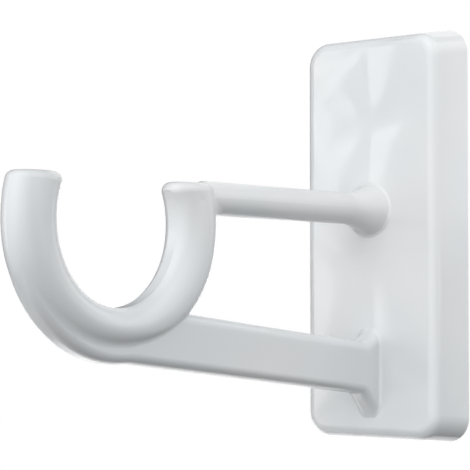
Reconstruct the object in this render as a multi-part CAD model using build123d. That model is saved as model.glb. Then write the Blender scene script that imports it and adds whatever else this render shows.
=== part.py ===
from build123d import *

import math
import os

from OCP.BRepFilletAPI import BRepFilletAPI_MakeFillet

# Curtain pole bracket, moulded in one piece from white plastic.
# The wall is the plane Y = 0, the bracket reaches towards -Y, the pole lies along X and Z is up.
# The origin is the centre of the wall plate's back. All sizes are in millimetres, angles in degrees.

# The pole and where it hangs
POLE_DIAMETER = 28.0
POLE_CLEARANCE = 0.4
PROJECTION = 80.0

# The wall plate: its back outline, and how much each edge of the front lies inside it
PLATE_WIDTH = 34.1
PLATE_HEIGHT = 80.0
PLATE_DEPTH = 9.1
SIDE_FLARE = 1.65
TOP_FLARE = 1.5
FOOT_FLARE = 0.75
PLATE_CORNER_RADIUS = 4.8
PLATE_EDGE_RADIUS = 2.2

# The plate's hollow back: a recess for a flat wall clip, low ribs in its floor and four snap ridges
SHELL_WALL = 2.4
FRONT_WALL = 2.4
CLIP_RECESS = 5.2
RIB_THICKNESS = 1.6
UPPER_RIB_HEIGHT = 23.0
RIDGE_DIAMETER = 2.0
RIDGE_PROTRUSION = 0.7
RIDGE_LENGTH = 14.0
RIDGE_SPACING = 44.0
RIDGE_SETBACK = 2.0

# The cup: an oval bead bent round the pole, thinner at the bottom than at its two prongs
BEAD_WIDTH = 7.8
PRONG_THICKNESS = 9.7
BOTTOM_THICKNESS = 6.8
THICKENING_ANGLE = 78.0
SEAT_LAND_DEPTH = 0.15
PRONG_HEIGHT_RATIO = 0.514
PRONG_TIP_RADIUS = 1.5

# The upper rod
ROD_DIAMETER = 6.06
ROD_DROP = 2.45
ROD_END_COVER = 6.0
ROD_FLARE_REACH = 8.0
ROD_FLARE_RISE = 2.6
ROD_PRONG_BLEND = 2.6

# The lower arm: a bar that runs on under the cup as a narrow keel
ARM_WIDTH = 5.2
ARM_DEPTH = 9.9
ARM_SLOPE = 6.1
ARM_EDGE_RADIUS = 1.8
ARM_TOP_ROOT = 5.5
ARM_FOOT_REACH = 5.4
ARM_FOOT_DROP = 6.2
KEEL_REACH = 9.35
KEEL_RISE = 0.4
KEEL_RISE_RADIUS = 20.0
KEEL_END_ANGLE = 14.0
KEEL_FRONT_BLEND = 2.4
KEEL_BACK_BLEND = 0.4

# The roots on the plate: how far they are sunk and carried into it, and the small blend round them
ROOT_SINK = 0.5
ROOT_OVERLAP = 1.2
ROOT_BLEND = 0.6

# How much smaller the keel's blend is tried again where it finds no room
BLEND_STEP = 0.8

# How hollow each root rounding is: 0 gives a flat bevel, 0.55 a quarter oval
TOP_ROOT_HOLLOW = 0.55
FOOT_HOLLOW = 0.2
FLARE_HOLLOW = 0.3

# Values that follow from the sizes above
SEAT_RADIUS = POLE_DIAMETER / 2 + POLE_CLEARANCE
PRONG_HEIGHT = PRONG_HEIGHT_RATIO * SEAT_RADIUS
ROD_HEIGHT = PRONG_HEIGHT - ROD_DROP
PLATE_FRONT = -PLATE_DEPTH
HOLLOW_DEPTH = PLATE_DEPTH - FRONT_WALL
KEEL_OUTER_RADIUS = SEAT_RADIUS + KEEL_REACH
KEEL_INNER_RADIUS = SEAT_RADIUS + BOTTOM_THICKNESS / 2
ARM_UNDERSIDE = KEEL_OUTER_RADIUS - KEEL_RISE
ARM_TOP = ARM_UNDERSIDE - ARM_DEPTH


# The wall plate

def flared_block(inset, depth, corner_radius):
    """Block from the wall plane forwards, inset from the plate's flared sides, with rounded corners."""
    share = depth / PLATE_DEPTH
    half_width = PLATE_WIDTH / 2 - inset
    half_height = PLATE_HEIGHT / 2 - inset
    side = half_width - share * SIDE_FLARE
    top = half_height - share * TOP_FLARE
    foot = share * FOOT_FLARE - half_height
    from_above = Polygon((-half_width, 0), (-side, -depth), (side, -depth), (half_width, 0), align=None)
    from_side = Polygon((0, -half_height), (0, half_height), (-depth, top), (-depth, foot), align=None)
    block = extrude(Plane.XY * from_above, amount=PLATE_HEIGHT, both=True)
    block &= extrude(Plane.YZ * from_side, amount=PLATE_WIDTH, both=True)
    level = block.edges().filter_by(Axis.X) + block.edges().filter_by(Axis.Z)
    return fillet(block.edges() - level, corner_radius)


def make_plate():
    """Plate with a soft front edge and a hollow back."""
    plate = flared_block(0, PLATE_DEPTH, PLATE_CORNER_RADIUS)
    front = plate.faces().sort_by(Axis.Y)[0]
    plate = fillet(front.edges(), PLATE_EDGE_RADIUS)
    return plate - make_hollow()


def make_hollow():
    """Space inside the plate: the flared hollow less its floor ribs and snap ridges."""
    hollow = flared_block(SHELL_WALL, HOLLOW_DEPTH, PLATE_CORNER_RADIUS - SHELL_WALL)
    return hollow - make_ribs() - make_snap_ridges()


def make_ribs():
    """One upright rib and three cross ribs, all below the wall clip's recess."""
    from_recess = (Align.CENTER, Align.MAX, Align.CENTER)
    depth = PLATE_DEPTH - CLIP_RECESS
    ribs = Box(RIB_THICKNESS, depth, PLATE_HEIGHT, align=from_recess)
    cross = Box(PLATE_WIDTH, depth, RIB_THICKNESS, align=from_recess)
    for height in (UPPER_RIB_HEIGHT, ROD_HEIGHT, arm_root_height()):
        ribs += Pos(0, 0, height) * cross
    return Pos(0, -CLIP_RECESS, 0) * ribs


def make_snap_ridges():
    """Four short half-round ridges on the long walls, which hold the wall clip."""
    wall_inside = PLATE_WIDTH / 2 - SHELL_WALL - SIDE_FLARE * RIDGE_SETBACK / PLATE_DEPTH
    across = wall_inside - RIDGE_PROTRUSION + RIDGE_DIAMETER / 2
    ridge = Cylinder(RIDGE_DIAMETER / 2, RIDGE_LENGTH)
    ridges = Part()
    for x_side in (-1, 1):
        for z_side in (-1, 1):
            ridges += Pos(x_side * across, -RIDGE_SETBACK, z_side * RIDGE_SPACING / 2) * ridge
    return ridges


# The cup

def bead_thickness(angle):
    """Radial thickness of the bead at an angle from the cup's lowest point."""
    share = min(abs(angle) / THICKENING_ANGLE, 1.0)
    rise = math.sin(math.radians(90 * share)) ** 2
    return BOTTOM_THICKNESS + (PRONG_THICKNESS - BOTTOM_THICKNESS) * rise


def bead_section(angle):
    """Oval section of the bead on the radial plane at an angle from the cup's lowest point."""
    thickness = bead_thickness(angle) + SEAT_LAND_DEPTH
    centre_radius = SEAT_RADIUS - SEAT_LAND_DEPTH + thickness / 2
    turn = math.radians(angle)
    outward = Vector(0, math.sin(turn), -math.cos(turn))
    onward = Vector(0, math.cos(turn), math.sin(turn))
    middle = Vector(0, -PROJECTION, 0) + outward * centre_radius
    plane = Plane(middle, x_dir=outward * -1, z_dir=onward)
    near_half = EllipticalCenterArc((0, 0), thickness / 2, BEAD_WIDTH / 2, 0, arc_size=180)
    far_half = EllipticalCenterArc((0, 0), thickness / 2, BEAD_WIDTH / 2, 180, arc_size=180)
    return plane * make_face(near_half + far_half)


def make_cup():
    """Bead round the pole, cut level at its prongs, with rounded tips and a narrow land for the pole."""
    last = 126
    step = 14
    bead = loft([bead_section(angle) for angle in range(-last, last + step, step)])
    above = Box(PROJECTION, PROJECTION, PROJECTION, align=(Align.CENTER, Align.CENTER, Align.MIN))
    bead -= Pos(0, -PROJECTION, PRONG_HEIGHT) * above
    tips = bead.faces().filter_by(Plane.XY)
    bead = fillet(tips.edges(), PRONG_TIP_RADIUS)
    pole_space = Pos(0, -PROJECTION, 0) * Rot(0, 90, 0) * Cylinder(SEAT_RADIUS, PROJECTION)
    return bead - pole_space


# The roundings where the rod and the arm meet the plate

def root_curve(start, corner, end, share):
    """Curve that leaves start towards the corner and arrives at end from it."""
    return Bezier(start, start + (corner - start) * share, end + (corner - end) * share, end)


# The upper rod

def make_rod():
    """Round rod from inside the plate to a domed end inside the near prong."""
    radius = ROD_DIAMETER / 2
    seat_side = math.sqrt(SEAT_RADIUS**2 - ROD_HEIGHT**2) - PROJECTION
    dome_centre = seat_side + ROD_END_COVER + radius
    length = PLATE_FRONT + ROOT_OVERLAP - dome_centre
    from_end = (Align.CENTER, Align.CENTER, Align.MIN)
    rod = Rot(-90, 0, 0) * Cylinder(radius, length, align=from_end)
    rod += Sphere(radius)
    return Pos(0, dome_centre, ROD_HEIGHT) * rod


def make_rod_flare():
    """Trumpet in which the rod meets the plate, its outline turned about the rod's axis."""
    plate_end = PLATE_FRONT + ROOT_SINK
    inside = PLATE_FRONT + ROOT_OVERLAP
    corner = Vector(plate_end, ROD_HEIGHT + ROD_DIAMETER / 2)
    rim = corner + Vector(0, ROD_FLARE_RISE)
    hollow = root_curve(corner - Vector(ROD_FLARE_REACH, 0), corner, rim, FLARE_HOLLOW)
    rest = Polyline(rim, (inside, rim.Y), (inside, ROD_HEIGHT), ((hollow @ 0).X, ROD_HEIGHT), hollow @ 0)
    profile = Plane.YZ * make_face(hollow + rest)
    return revolve(profile, Axis((0, 0, ROD_HEIGHT), (0, 1, 0)))


# The lower arm and the keel, drawn in the side view with the cup's centre as its middle point

def slope_directions():
    """Directions along the arm towards the wall, and square to it downwards."""
    slope = math.radians(ARM_SLOPE)
    wallward = Vector(math.cos(slope), -math.sin(slope))
    downward = Vector(-math.sin(slope), -math.cos(slope))
    return wallward, downward


def arm_line_height(offset, y):
    """Height at y of the line along the arm that passes below the cup's centre at an offset."""
    slope = math.radians(ARM_SLOPE)
    return -(offset + (y + PROJECTION) * math.sin(slope)) / math.cos(slope)


def arm_root_height():
    """Height of the arm's middle line where it meets the plate."""
    return arm_line_height(ARM_UNDERSIDE - ARM_DEPTH / 2, PLATE_FRONT)


def arc_about(centre, radius, first, last):
    """Arc about a centre, the short way from one direction to another."""
    middle = (first + last).normalized()
    return ThreePointArc(centre + first * radius, centre + middle * radius, centre + last * radius)


def arm_root(offset, reach, drop, share):
    """Rounding from a line along the arm into the plate: its reach on the arm and its drop on the plate."""
    wallward = slope_directions()[0]
    plate_end = PLATE_FRONT + ROOT_SINK
    corner = Vector(plate_end, arm_line_height(offset, plate_end))
    return root_curve(corner - wallward * reach, corner, corner - Vector(0, drop), share)


def foot_drop():
    """Drop of the arm's foot, kept with its blend on the flat of the plate's front."""
    flat_end = PLATE_HEIGHT / 2 - FOOT_FLARE - PLATE_EDGE_RADIUS
    room = flat_end - ROOT_BLEND + arm_line_height(ARM_UNDERSIDE, PLATE_FRONT)
    return max(min(ARM_FOOT_DROP, room), ROOT_OVERLAP)


def arm_outline():
    """Closed side outline of the keel and the arm, with the arm's end carried into the plate."""
    wallward, downward = slope_directions()
    centre = Vector(-PROJECTION, 0)
    end_angle = math.radians(KEEL_END_ANGLE)
    end_direction = Vector(-math.cos(end_angle), -math.sin(end_angle))

    rise_reach = KEEL_OUTER_RADIUS + KEEL_RISE_RADIUS
    rise_below = ARM_UNDERSIDE + KEEL_RISE_RADIUS
    rise_along = math.sqrt(rise_reach**2 - rise_below**2)
    rise_centre = centre + downward * rise_below + wallward * rise_along
    rise_direction = (rise_centre - centre).normalized()
    rise = arc_about(rise_centre, KEEL_RISE_RADIUS, rise_direction * -1, downward * -1)

    keel = arc_about(centre, KEEL_OUTER_RADIUS, end_direction, rise_direction)
    low_root = arm_root(ARM_UNDERSIDE, ARM_FOOT_REACH, foot_drop(), FOOT_HOLLOW)
    top_root = arm_root(ARM_TOP, ARM_TOP_ROOT, -ARM_TOP_ROOT, TOP_ROOT_HOLLOW)
    top_along = math.sqrt(KEEL_INNER_RADIUS**2 - ARM_TOP**2)
    top_end = centre + downward * ARM_TOP + wallward * top_along
    top_direction = (top_end - centre).normalized()
    inner = arc_about(centre, KEEL_INNER_RADIUS, end_direction, top_direction)
    deep = PLATE_FRONT + ROOT_SINK + 2 * ARM_EDGE_RADIUS

    return [
        keel,
        rise,
        Line(rise @ 1, low_root @ 0),
        low_root,
        Polyline(low_root @ 1, (deep, (low_root @ 1).Y), (deep, (top_root @ 1).Y), top_root @ 1),
        top_root,
        Line(top_root @ 0, top_end),
        inner,
        Line(inner @ 0, keel @ 0),
    ]


def arm_bar(rounded):
    """Bar of that outline, ended inside the plate's front wall, with its lowest long edges rounded."""
    wallward, downward = slope_directions()
    side_face = Plane.YZ * make_face(Curve() + arm_outline())
    bar = extrude(side_face, amount=ARM_WIDTH / 2, both=True)
    long_edges = bar.edges().filter_by(Axis((0, 0, 0), (0, wallward.X, wallward.Y)))
    long_edges = long_edges.sort_by(Axis((0, 0, 0), (0, -downward.X, -downward.Y)))
    bar = fillet(long_edges[:rounded], ARM_EDGE_RADIUS)
    behind = Box(PLATE_WIDTH, PLATE_DEPTH, PLATE_HEIGHT, align=(Align.CENTER, Align.MIN, Align.CENTER))
    return bar - Pos(0, PLATE_FRONT + ROOT_OVERLAP, 0) * behind


def growing_blend(hook, joins, front_blend):
    """Hook with a blend under the bead that grows to the keel's front end, or nothing without room."""
    blend = BRepFilletAPI_MakeFillet(hook.wrapped)
    blend.Add(joins[0].wrapped)
    for corner in joins.vertices():
        at_front = corner.Y < -PROJECTION
        blend.SetRadius(front_blend if at_front else KEEL_BACK_BLEND, 1, corner.wrapped)
    blend.Build()
    return Part(blend.Shape()) if blend.IsDone() else Part()


def make_hook():
    """Arm, keel and cup as one, with the largest blend under the bead that finds room."""
    cup = make_cup()
    arm = arm_bar(4)
    square_topped = arm_bar(2)
    hook = square_topped + cup
    joins = new_edges(square_topped, cup, combined=hook).sort_by(Axis.Y)
    front_blend = KEEL_FRONT_BLEND
    while front_blend > KEEL_BACK_BLEND:
        blended = growing_blend(hook, joins, front_blend)
        if blended.volume > hook.volume and blended.is_valid:
            return blended - (square_topped - arm) + cup
        front_blend *= BLEND_STEP
    return arm + cup


# The whole bracket

def make_bracket():
    """Cup, keel, arm, rod and plate as one solid, with the inside corners between them blended."""
    hook = make_hook()
    carrier = make_plate() + make_rod_flare() + make_rod()
    bracket = hook + carrier
    joins = new_edges(hook, carrier, combined=bracket)
    at_prong = joins.filter_by_position(Axis.Y, -PROJECTION, -PROJECTION / 2)
    bracket = fillet(at_prong, ROD_PRONG_BLEND)
    plate_face = bracket.faces().filter_by(Axis.Y).sort_by(SortBy.AREA)[-1]
    for root_outline in plate_face.inner_wires():
        bracket = bracket.fillet(ROOT_BLEND, root_outline.edges())
    return bracket


os.makedirs("parts", exist_ok=True)
export_step(make_bracket(), "parts/bracket.step")
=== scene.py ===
# %% [markdown]
# # A white curtain pole bracket
#
# This lesson finishes a one-piece curtain pole bracket. Its shape is already solid CAD: a wall
# plate, a round rod, a sloping arm and an open cup, moulded together in white gloss plastic. The
# bracket could be rebuilt by hand in Blender, but the CAD mesh already has all its roundings, so it
# stays as it is. What Blender adds is the camera of the photograph, the surface of the plastic and
# the light of a small photo studio.

# %% Load the bracket
import math

import bmesh
import bpy
from mathutils import Matrix, Quaternion, Vector

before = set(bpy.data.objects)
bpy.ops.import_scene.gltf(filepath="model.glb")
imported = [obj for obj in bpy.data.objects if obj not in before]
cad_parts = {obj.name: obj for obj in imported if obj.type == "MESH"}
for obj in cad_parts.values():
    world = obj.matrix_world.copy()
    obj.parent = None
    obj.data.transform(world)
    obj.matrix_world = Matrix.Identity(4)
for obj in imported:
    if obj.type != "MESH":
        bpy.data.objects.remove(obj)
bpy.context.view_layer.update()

scene = bpy.context.scene
bracket = bpy.data.objects["bracket"]
print("bracket:", len(bracket.data.polygons), "triangles")

# %% [markdown]
# ## The camera
#
# The photograph is taken from the bracket's front right and a little below, with a long lens: the
# plate's upright edges hardly converge. A camera can be placed by eye, or solved from points whose
# place is known. Here it was solved, from the cup's inner circle, the plate's corners and the two
# arms, so the values are not round. The lens is given in pixels, because the picture is 470 pixels
# wide, and Blender wants it in millimetres.

# %% Place the camera
PICTURE_PX = 470
FOCAL_PX = 1862.438
SENSOR_MM = 36.0
NEAREST_SHOWN = 0.01
CAMERA_PLACE = Vector((0.2170112, -0.3012132, -0.0153658))
CAMERA_HEADING = math.radians(49.27712)
CAMERA_PITCH = math.radians(2.43089)
CAMERA_ROLL = math.radians(0.04051)
BRACKET_MIDDLE = Vector((0.0, -0.045, 0.0))

lens = bpy.data.cameras.new("camera")
lens.sensor_width = SENSOR_MM
lens.lens = FOCAL_PX / PICTURE_PX * SENSOR_MM
lens.clip_start = NEAREST_SHOWN
camera = bpy.data.objects.new("camera", lens)
scene.collection.objects.link(camera)
scene.camera = camera

ahead = Vector((-math.cos(CAMERA_HEADING), math.sin(CAMERA_HEADING), 0.0))
level = Vector((math.sin(CAMERA_HEADING), math.cos(CAMERA_HEADING), 0.0))
forward = ahead * math.cos(CAMERA_PITCH) + Vector((0.0, 0.0, math.sin(CAMERA_PITCH)))
upright = level.cross(forward)
right = level * math.cos(CAMERA_ROLL) + upright * math.sin(CAMERA_ROLL)
top = upright * math.cos(CAMERA_ROLL) - level * math.sin(CAMERA_ROLL)
pose = Matrix((right, top, -forward)).transposed().to_4x4()
pose.translation = CAMERA_PLACE
camera.matrix_world = pose
print("lens:", round(lens.lens, 1), "mm")
print("camera:", round((CAMERA_PLACE - BRACKET_MIDDLE).length, 3), "m from the bracket")

# %% [markdown]
# ## What the plastic's surface does
#
# The bracket comes out of a polished steel mould, so it is glossy, and close to a mirror where it
# is flat. It is not quite flat, though. Plastic shrinks as it cools, most of all where it is thick,
# so the plate's front sinks along the ribs behind it, and the fields in between stand up by about
# a quarter of a millimetre. That is too shallow to change the outline, but it bends the
# reflections, so it belongs in the material's bump. Two smaller effects go with it: a slow
# waviness all over, and a very fine skin like that of an orange.
#
# Each effect is a node group. A group can be read, tested and used again on its own. Here each one
# takes the object's own coordinates. Two of them give a height in millimetres, for the bump, and
# the third gives the roughness.

# %% Helpers for node trees
def add_node(tree, kind, **settings):
    """A node of one kind in a tree, with its properties set."""
    node = tree.nodes.new(kind)
    for name, value in settings.items():
        setattr(node, name, value)
    return node


def add_math(tree, operation, first, second=None):
    """A Math node whose inputs are sockets or plain numbers, and its output socket."""
    node = add_node(tree, "ShaderNodeMath", operation=operation)
    for socket, value in zip(node.inputs, (first, second)):
        if isinstance(value, bpy.types.NodeSocket):
            tree.links.new(value, socket)
        elif value is not None:
            socket.default_value = value
    return node.outputs["Value"]


def add_range(tree, value, low, high, new_low, new_high, kind="LINEAR"):
    """A Map Range node from one pair of limits to another, and its output socket."""
    node = add_node(tree, "ShaderNodeMapRange", interpolation_type=kind)
    tree.links.new(value, node.inputs["Value"])
    node.inputs["From Min"].default_value = low
    node.inputs["From Max"].default_value = high
    node.inputs["To Min"].default_value = new_low
    node.inputs["To Max"].default_value = new_high
    return node.outputs["Result"]


def add_noise(tree, position, scale, detail=2.0, roughness=0.5, seed=None):
    """A Noise Texture read at a position. A seed makes it a slice of four-dimensional noise."""
    node = add_node(tree, "ShaderNodeTexNoise")
    if seed is not None:
        node.noise_dimensions = "4D"
        node.inputs["W"].default_value = seed
    node.inputs["Scale"].default_value = scale
    node.inputs["Detail"].default_value = detail
    node.inputs["Roughness"].default_value = roughness
    tree.links.new(position, node.inputs["Vector"])
    return node


def start_group(name, result):
    """An empty node group that takes a position and gives one number, with its two ends."""
    tree = bpy.data.node_groups.new(name, "ShaderNodeTree")
    tree.interface.new_socket("Position", in_out="INPUT", socket_type="NodeSocketVector")
    tree.interface.new_socket(result, in_out="OUTPUT", socket_type="NodeSocketFloat")
    entry = add_node(tree, "NodeGroupInput")
    leave = add_node(tree, "NodeGroupOutput")
    return tree, entry.outputs["Position"], leave.inputs[result]


print("helpers: add_node, add_math, add_range, add_noise, start_group")

# %% [markdown]
# ## The sink lines of the plate
#
# Behind the plate run one upright rib in the middle and three cross ribs. The plastic is thickest
# where a rib meets the plate, cools there last and shrinks most, so the front sinks a little along
# each rib and stands up like a pillow in between. Moulders call these sink marks. They could be
# sculpted into the mesh, but so shallow a form only shows where it bends a reflection, so a bump
# is enough.
#
# Across the plate each side is one parabola. Up the plate the fields differ in height, so a Float
# Curve is handier: it is drawn through zero at each sink line and through the field's own rise in
# its middle. The product of the two is the pillow. One sink line, 3 mm below the plate's middle,
# has no rib behind it and is there because the photograph shows it. Real sink lines are not
# straight either, so a slow noise first shifts the position, mostly up and down. Its seed was
# picked. Last, a mask on depth keeps the pillows on the plate's front face, away from the
# rod and the arm.

# %% Height of the pillowed fields
METRES_TO_MM = 1000.0
PLATE_FRONT_MM = -9.1
PLATE_REACH = 40.0
FACE_NEAR = 0.1
FACE_FAR = 0.5
FIELD_HALF_WIDTH = 7.0
RIB_SOFTNESS = 0.9
PILLOW_HEIGHT = 0.25
SINK_LINES = (-38.0, -26.3, -3.0, 4.95, 23.0, 38.0)
FIELD_RISES = (0.7, 1.0, 0.45, 1.0, 1.0)
DRIFT_PER_MM = 0.07
DRIFT_DETAIL = 0.0
DRIFT_SEED = 8.1
DRIFT_MM = (4.0, 0.0, 14.0)
NOISE_MIDDLE = 0.5

pillows, position, pillow_height = start_group("plate_pillows", "Height")
in_mm = add_node(pillows, "ShaderNodeVectorMath", operation="SCALE")
in_mm.inputs["Scale"].default_value = METRES_TO_MM
pillows.links.new(position, in_mm.inputs[0])
place_mm = in_mm.outputs["Vector"]

drift = add_noise(pillows, place_mm, DRIFT_PER_MM, DRIFT_DETAIL, seed=DRIFT_SEED)
swing = add_node(pillows, "ShaderNodeVectorMath", operation="SUBTRACT")
swing.inputs[1].default_value = (NOISE_MIDDLE, NOISE_MIDDLE, NOISE_MIDDLE)
pillows.links.new(drift.outputs["Color"], swing.inputs[0])
drifted = add_node(pillows, "ShaderNodeVectorMath", operation="MULTIPLY_ADD")
drifted.inputs[1].default_value = DRIFT_MM
pillows.links.new(swing.outputs["Vector"], drifted.inputs[0])
pillows.links.new(place_mm, drifted.inputs[2])
axes = add_node(pillows, "ShaderNodeSeparateXYZ")
pillows.links.new(drifted.outputs["Vector"], axes.inputs["Vector"])

squared = add_math(pillows, "MULTIPLY", axes.outputs["X"], axes.outputs["X"])
from_rib = add_math(pillows, "SQRT", add_math(pillows, "ADD", squared, RIB_SOFTNESS**2))
from_middle = add_math(pillows, "SUBTRACT", from_rib, FIELD_HALF_WIDTH)
off_centre = add_math(pillows, "DIVIDE", from_middle, FIELD_HALF_WIDTH)
off_centre_squared = add_math(pillows, "MULTIPLY", off_centre, off_centre)
parabola = add_math(pillows, "SUBTRACT", 1.0, off_centre_squared)
across = add_math(pillows, "MAXIMUM", parabola, 0.0)

field_curve = add_node(pillows, "ShaderNodeFloatCurve")
curve_points = field_curve.mapping.curves[0].points
knots = []
for low_line, high_line, rise in zip(SINK_LINES, SINK_LINES[1:], FIELD_RISES):
    knots += [(low_line, 0.0), ((low_line + high_line) / 2, rise)]
knots.append((SINK_LINES[-1], 0.0))
curve_points[0].location = (0.0, 0.0)
curve_points[1].location = (1.0, 0.0)
for height_mm, rise in knots:
    curve_points.new((height_mm + PLATE_REACH) / (2 * PLATE_REACH), rise)
field_curve.mapping.update()
up_the_plate = add_range(pillows, axes.outputs["Z"], -PLATE_REACH, PLATE_REACH, 0.0, 1.0)
pillows.links.new(up_the_plate, field_curve.inputs["Value"])

behind, before = [
    add_range(
        pillows, axes.outputs["Y"], PLATE_FRONT_MM + far, PLATE_FRONT_MM + near, 0.0, 1.0, "SMOOTHSTEP"
    )
    for far, near in ((FACE_FAR, FACE_NEAR), (-FACE_FAR, -FACE_NEAR))
]
on_front = add_math(pillows, "MULTIPLY", behind, before)
pillow = add_math(pillows, "MULTIPLY", across, field_curve.outputs["Value"])
pillow_on_front = add_math(pillows, "MULTIPLY", pillow, on_front)
pillows.links.new(add_math(pillows, "MULTIPLY", pillow_on_front, PILLOW_HEIGHT), pillow_height)
print("pillows:", 2 * len(FIELD_RISES), "fields,", PILLOW_HEIGHT, "mm high")

# %% [markdown]
# ## Waviness and skin
#
# The rest of the moulding has no ribs behind it, and still it is not perfect: polished by hand, the
# mould's own surface waves slowly, and the plastic's skin has a fine grain that only shows in the
# edge of a reflection. Both are noise. Their sizes are what matters: the waves are a finger's
# breadth long, and the grain is finer than a millimetre. A picture texture could show a grain too,
# but noise needs no unwrapping and never repeats.

# %% Height of the waves and the skin
WAVE_PER_METRE = 70.0
WAVE_HEIGHT = 0.14
WAVE_DETAIL = 1.0
SKIN_PER_METRE = 1400.0
SKIN_HEIGHT = 0.0022
SKIN_DETAIL = 2.0
FINE_SHARE = 0.4

skin, position, skin_height = start_group("moulded_skin", "Height")
waves = add_noise(skin, position, WAVE_PER_METRE, WAVE_DETAIL, FINE_SHARE)
grain = add_noise(skin, position, SKIN_PER_METRE, SKIN_DETAIL, FINE_SHARE)
wave_height = add_math(skin, "MULTIPLY", waves.outputs["Fac"], WAVE_HEIGHT)
grain_height = add_math(skin, "MULTIPLY", grain.outputs["Fac"], SKIN_HEIGHT)
skin.links.new(add_math(skin, "ADD", wave_height, grain_height), skin_height)
print("waves:", round(METRES_TO_MM / WAVE_PER_METRE), "mm long")
print("skin grain:", round(METRES_TO_MM / SKIN_PER_METRE, 1), "mm")

# %% [markdown]
# ## How the polish varies
#
# A flat mould face is easy to polish and a narrow groove is not. So the plate mirrors the lights
# with clear edges, while the rod, the arm and the cup are satin. A mask along the depth blends one
# finish into the other just in front of the plate. Within each finish the roughness is not one
# number either: a noise with patches of a few centimetres moves it up and down, and a second, finer
# one breaks the borders of the patches.

# %% Roughness of the polish
PATCH_PER_METRE = 38.0
PATCH_DETAIL = 2.0
PATCH_SHARE = 0.7
SMEAR_PER_METRE = 260.0
SMEAR_DETAIL = 3.0
SMEAR_SHARE = 0.3
PATCH_LIMITS = (0.3, 0.7)
PLATE_POLISH = (0.11, 0.16)
ARM_POLISH = (0.20, 0.26)
POLISH_ENDS_MM = (-14.0, -9.8)

polish, position, polish_roughness = start_group("mould_polish", "Roughness")
patches = add_noise(polish, position, PATCH_PER_METRE, PATCH_DETAIL)
smears = add_noise(polish, position, SMEAR_PER_METRE, SMEAR_DETAIL)
coarser = add_math(polish, "MULTIPLY", patches.outputs["Fac"], PATCH_SHARE)
finer = add_math(polish, "MULTIPLY", smears.outputs["Fac"], SMEAR_SHARE)
both = add_math(polish, "ADD", coarser, finer)
on_plate, on_arm = [
    add_range(polish, both, *PATCH_LIMITS, *finish_limits, "SMOOTHSTEP")
    for finish_limits in (PLATE_POLISH, ARM_POLISH)
]
depth = add_node(polish, "ShaderNodeSeparateXYZ")
polish.links.new(position, depth.inputs["Vector"])
front, back = [end / METRES_TO_MM for end in POLISH_ENDS_MM]
plate_share = add_range(polish, depth.outputs["Y"], front, back, 0.0, 1.0, "SMOOTHSTEP")
finish = add_node(polish, "ShaderNodeMix", data_type="FLOAT")
finish_inputs = finish.inputs[0:1] + finish.inputs[2:4]
for link_from, link_to in zip((plate_share, on_arm, on_plate), finish_inputs):
    polish.links.new(link_from, link_to)
polish.links.new(finish.outputs[0], polish_roughness)
print("roughness on the plate", PLATE_POLISH, "and on the arm", ARM_POLISH)

# %% [markdown]
# ## The white plastic
#
# White plastic is not pure white: seen beside white paper it is a light, slightly cool grey. Its
# pigment is mixed in as the plastic melts, so the tone drifts a little along the moulding. Mixing
# two close whites by a slow noise shows that without ever looking like a pattern. The Principled
# shader does the rest, and its usual index of refraction of 1.5 is that of plastic.

# %% Make the plastic and put it on the bracket
WHITE_COOL = (0.655, 0.680, 0.700, 1.0)
WHITE_WARM = (0.680, 0.693, 0.700, 1.0)
TONE_PER_METRE = 28.0
TONE_LIMITS = (0.35, 0.65)

plastic = bpy.data.materials.new("white_gloss_plastic")
plastic.use_nodes = True
tree = plastic.node_tree
shader = tree.nodes["Principled BSDF"]
place = add_node(tree, "ShaderNodeTexCoord").outputs["Object"]

tone = add_noise(tree, place, TONE_PER_METRE)
warmth = add_range(tree, tone.outputs["Fac"], *TONE_LIMITS, 0.0, 1.0, "SMOOTHSTEP")
white = add_node(tree, "ShaderNodeMix", data_type="RGBA")
colour_a, colour_b = [socket for socket in white.inputs if socket.type == "RGBA"]
colour_a.default_value = WHITE_COOL
colour_b.default_value = WHITE_WARM
tree.links.new(warmth, white.inputs["Factor"])
white_out = [socket for socket in white.outputs if socket.type == "RGBA"][0]
tree.links.new(white_out, shader.inputs["Base Color"])

gloss = add_node(tree, "ShaderNodeGroup", node_tree=polish)
tree.links.new(place, gloss.inputs["Position"])
tree.links.new(gloss.outputs["Roughness"], shader.inputs["Roughness"])

fields = add_node(tree, "ShaderNodeGroup", node_tree=pillows)
surface = add_node(tree, "ShaderNodeGroup", node_tree=skin)
for group in (fields, surface):
    tree.links.new(place, group.inputs["Position"])
relief = add_math(tree, "ADD", fields.outputs["Height"], surface.outputs["Height"])
bump = add_node(tree, "ShaderNodeBump")
bump.inputs["Distance"].default_value = 1.0 / METRES_TO_MM
tree.links.new(relief, bump.inputs["Height"])
tree.links.new(bump.outputs["Normal"], shader.inputs["Normal"])
bracket.data.materials[0] = plastic
print("plastic:", len(tree.nodes), "nodes and", len(bpy.data.node_groups), "groups")

# %% [markdown]
# ## The floor
#
# The photograph has no ground: the bracket floats on pure white, as in a catalogue. A floor far
# below the bracket gives the same picture. It shines white towards the camera only, so it neither
# lights the bracket nor shows in its gloss, and the studio light alone decides the shading.

# %% Floor
FLOOR_WIDTH = 12.0
FLOOR_HEIGHT = -0.5
PURE_WHITE = (1.0, 1.0, 1.0, 1.0)
BLACK = (0.0, 0.0, 0.0, 1.0)

floor_mesh = bpy.data.meshes.new("floor")
sheet = bmesh.new()
bmesh.ops.create_grid(sheet, x_segments=1, y_segments=1, size=FLOOR_WIDTH / 2)
bmesh.ops.translate(sheet, vec=(0.0, 0.0, FLOOR_HEIGHT), verts=sheet.verts)
sheet.to_mesh(floor_mesh)
sheet.free()
floor = bpy.data.objects.new("floor", floor_mesh)
scene.collection.objects.link(floor)

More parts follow.
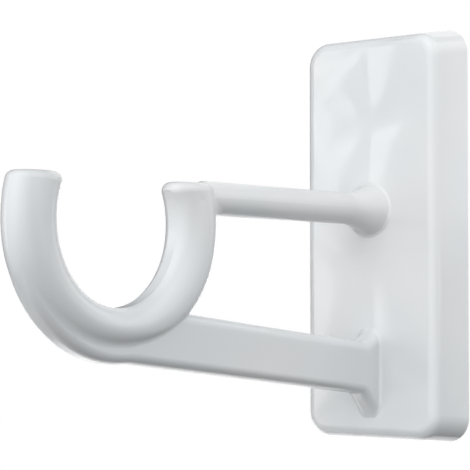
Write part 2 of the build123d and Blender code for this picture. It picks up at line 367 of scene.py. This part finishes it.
pale = bpy.data.materials.new("pale_floor")
pale.use_nodes = True
pale_shader = pale.node_tree.nodes["Principled BSDF"]
pale_shader.inputs["Base Color"].default_value = BLACK
pale_shader.inputs["Emission Color"].default_value = PURE_WHITE
pale_shader.inputs["Emission Strength"].default_value = 1.0
floor_mesh.materials.append(pale)
floor.visible_diffuse = False
floor.visible_glossy = False
floor.visible_shadow = False
print("floor:", FLOOR_WIDTH, "m wide, at", FLOOR_HEIGHT, "m")

# %% [markdown]
# ## The studio light
#
# The shading in the photograph is soft and comes from nearly all round, as in a light tent: a box
# of white cloth with lamps outside it. A tent could be modelled, with lamps behind real cloth, but
# what the bracket sees of it is only three wide, soft glows, so they are painted on the world
# instead. Each glow is brightest in one direction and fades like a bell curve to all sides: the
# nodes compare the direction a ray looks in with the direction of the glow. The camera itself sees
# plain white, as the photograph does.

# %% The light tent
GLOW_TIGHTNESS = 6.0
TENT_GLOWS = (
    ("high on the left", (0.114, -0.607, 0.787), 1.70),
    ("round the camera", (0.652, -0.757, 0.100), 1.20),
    ("left of the camera", (0.157, -0.949, 0.274), 0.90),
)

studio = bpy.data.worlds.new("studio")
studio.use_nodes = True
scene.world = studio
tent = studio.node_tree
backdrop = tent.nodes["Background"]
backdrop.inputs["Color"].default_value = PURE_WHITE
looking = add_node(tent, "ShaderNodeTexCoord").outputs["Generated"]
brightness = add_node(tent, "ShaderNodeLightPath").outputs["Is Camera Ray"]
for name, toward, peak in TENT_GLOWS:
    facing = add_node(tent, "ShaderNodeVectorMath", operation="DOT_PRODUCT", label=name)
    facing.inputs[1].default_value = Vector(toward).normalized()
    tent.links.new(looking, facing.inputs[0])
    away = add_math(tent, "SUBTRACT", facing.outputs["Value"], 1.0)
    bell = add_math(tent, "EXPONENT", add_math(tent, "MULTIPLY", away, GLOW_TIGHTNESS))
    brightness = add_math(tent, "ADD", brightness, add_math(tent, "MULTIPLY", bell, peak))
tent.links.new(brightness, backdrop.inputs["Strength"])
scene.view_settings.view_transform = "Standard"
half_way = math.degrees(math.acos(1 - math.log(2) / GLOW_TIGHTNESS))
print("light tent:", len(TENT_GLOWS), "glows")
print("each is half as bright", round(half_way), "degrees off its middle")

# %% [markdown]
# ## The softboxes
#
# The tent alone is too even. Two softboxes stand close to the bracket, one on the left of the cup
# and one on the right of the plate, and because they are close, what is nearest to them is
# brightest: that is how the arm's side and the plate's edge come to be lighter than the cup's
# underside. Four more, behind and below the bracket, give its outline the bright rims that a white
# background gives. An Area lamp's power spreads over its face, so the power follows from the
# brightness wanted and from the face's area. All were fitted so that the tones of the bracket's
# faces come out as close to the photograph's as they can.

# %% The softboxes
SOFTBOX_WIDTH = 0.4
SOFTBOX_REACH = 0.3
SOFTBOXES = (
    ("softbox_left", (-0.302, -0.953, -0.023), 0.75),
    ("softbox_right", (0.828, 0.277, 0.487), 1.35),
    ("softbox_wall_side", (0.302, 0.953, 0.023), 1.03),
    ("softbox_below", (-0.582, 0.203, -0.787), 0.70),
    ("softbox_behind", (-0.140, 0.929, 0.343), 1.10),
    ("softbox_low_behind", (-0.569, 0.661, -0.489), 1.50),
)


def add_softbox(name, toward, reach, width, height, brightness, lean=0.0):
    """A round or oval lamp that faces the bracket and is not seen itself."""
    lamp = bpy.data.lights.new(name, "AREA")
    lamp.shape = "ELLIPSE"
    lamp.size = width
    lamp.size_y = height
    area = math.pi * width * height / 4
    lamp.energy = brightness * math.pi * area
    softbox = bpy.data.objects.new(name, lamp)
    direction = Vector(toward).normalized()
    softbox.location = BRACKET_MIDDLE + direction * reach
    leaning = Quaternion((0.0, 0.0, 1.0), lean)
    softbox.rotation_mode = "QUATERNION"
    softbox.rotation_quaternion = direction.to_track_quat("Z", "Y") @ leaning
    softbox.visible_camera = False
    scene.collection.objects.link(softbox)
    print(name, round(lamp.energy, 3), "W")


for name, toward, brightness in SOFTBOXES:
    add_softbox(name, toward, SOFTBOX_REACH, SOFTBOX_WIDTH, SOFTBOX_WIDTH, brightness)

# %% [markdown]
# ## The strip light
#
# A glossy, nearly flat face shows its shape only where the edge of a light is mirrored in it. The
# photograph has such an edge: bright scallops on the plate's left, which the sink lines cut into
# waves. So one tall, narrow light stands on the left, where its mirror image ends in the middle of
# the plate. Its place was found backwards: take the place in the picture where the image is to end,
# follow the camera's ray through it, and mirror the point it reaches in the plate.

# %% The strip light
STRIP_TOWARD = (-0.747, -0.660, 0.085)
STRIP_REACH = 0.434
STRIP_WIDTH = 0.106
STRIP_HEIGHT = 0.379
STRIP_BRIGHTNESS = 2.5
STRIP_LEAN = math.radians(-9.0)

add_softbox(
    "strip_light", STRIP_TOWARD, STRIP_REACH, STRIP_WIDTH, STRIP_HEIGHT, STRIP_BRIGHTNESS, STRIP_LEAN
)
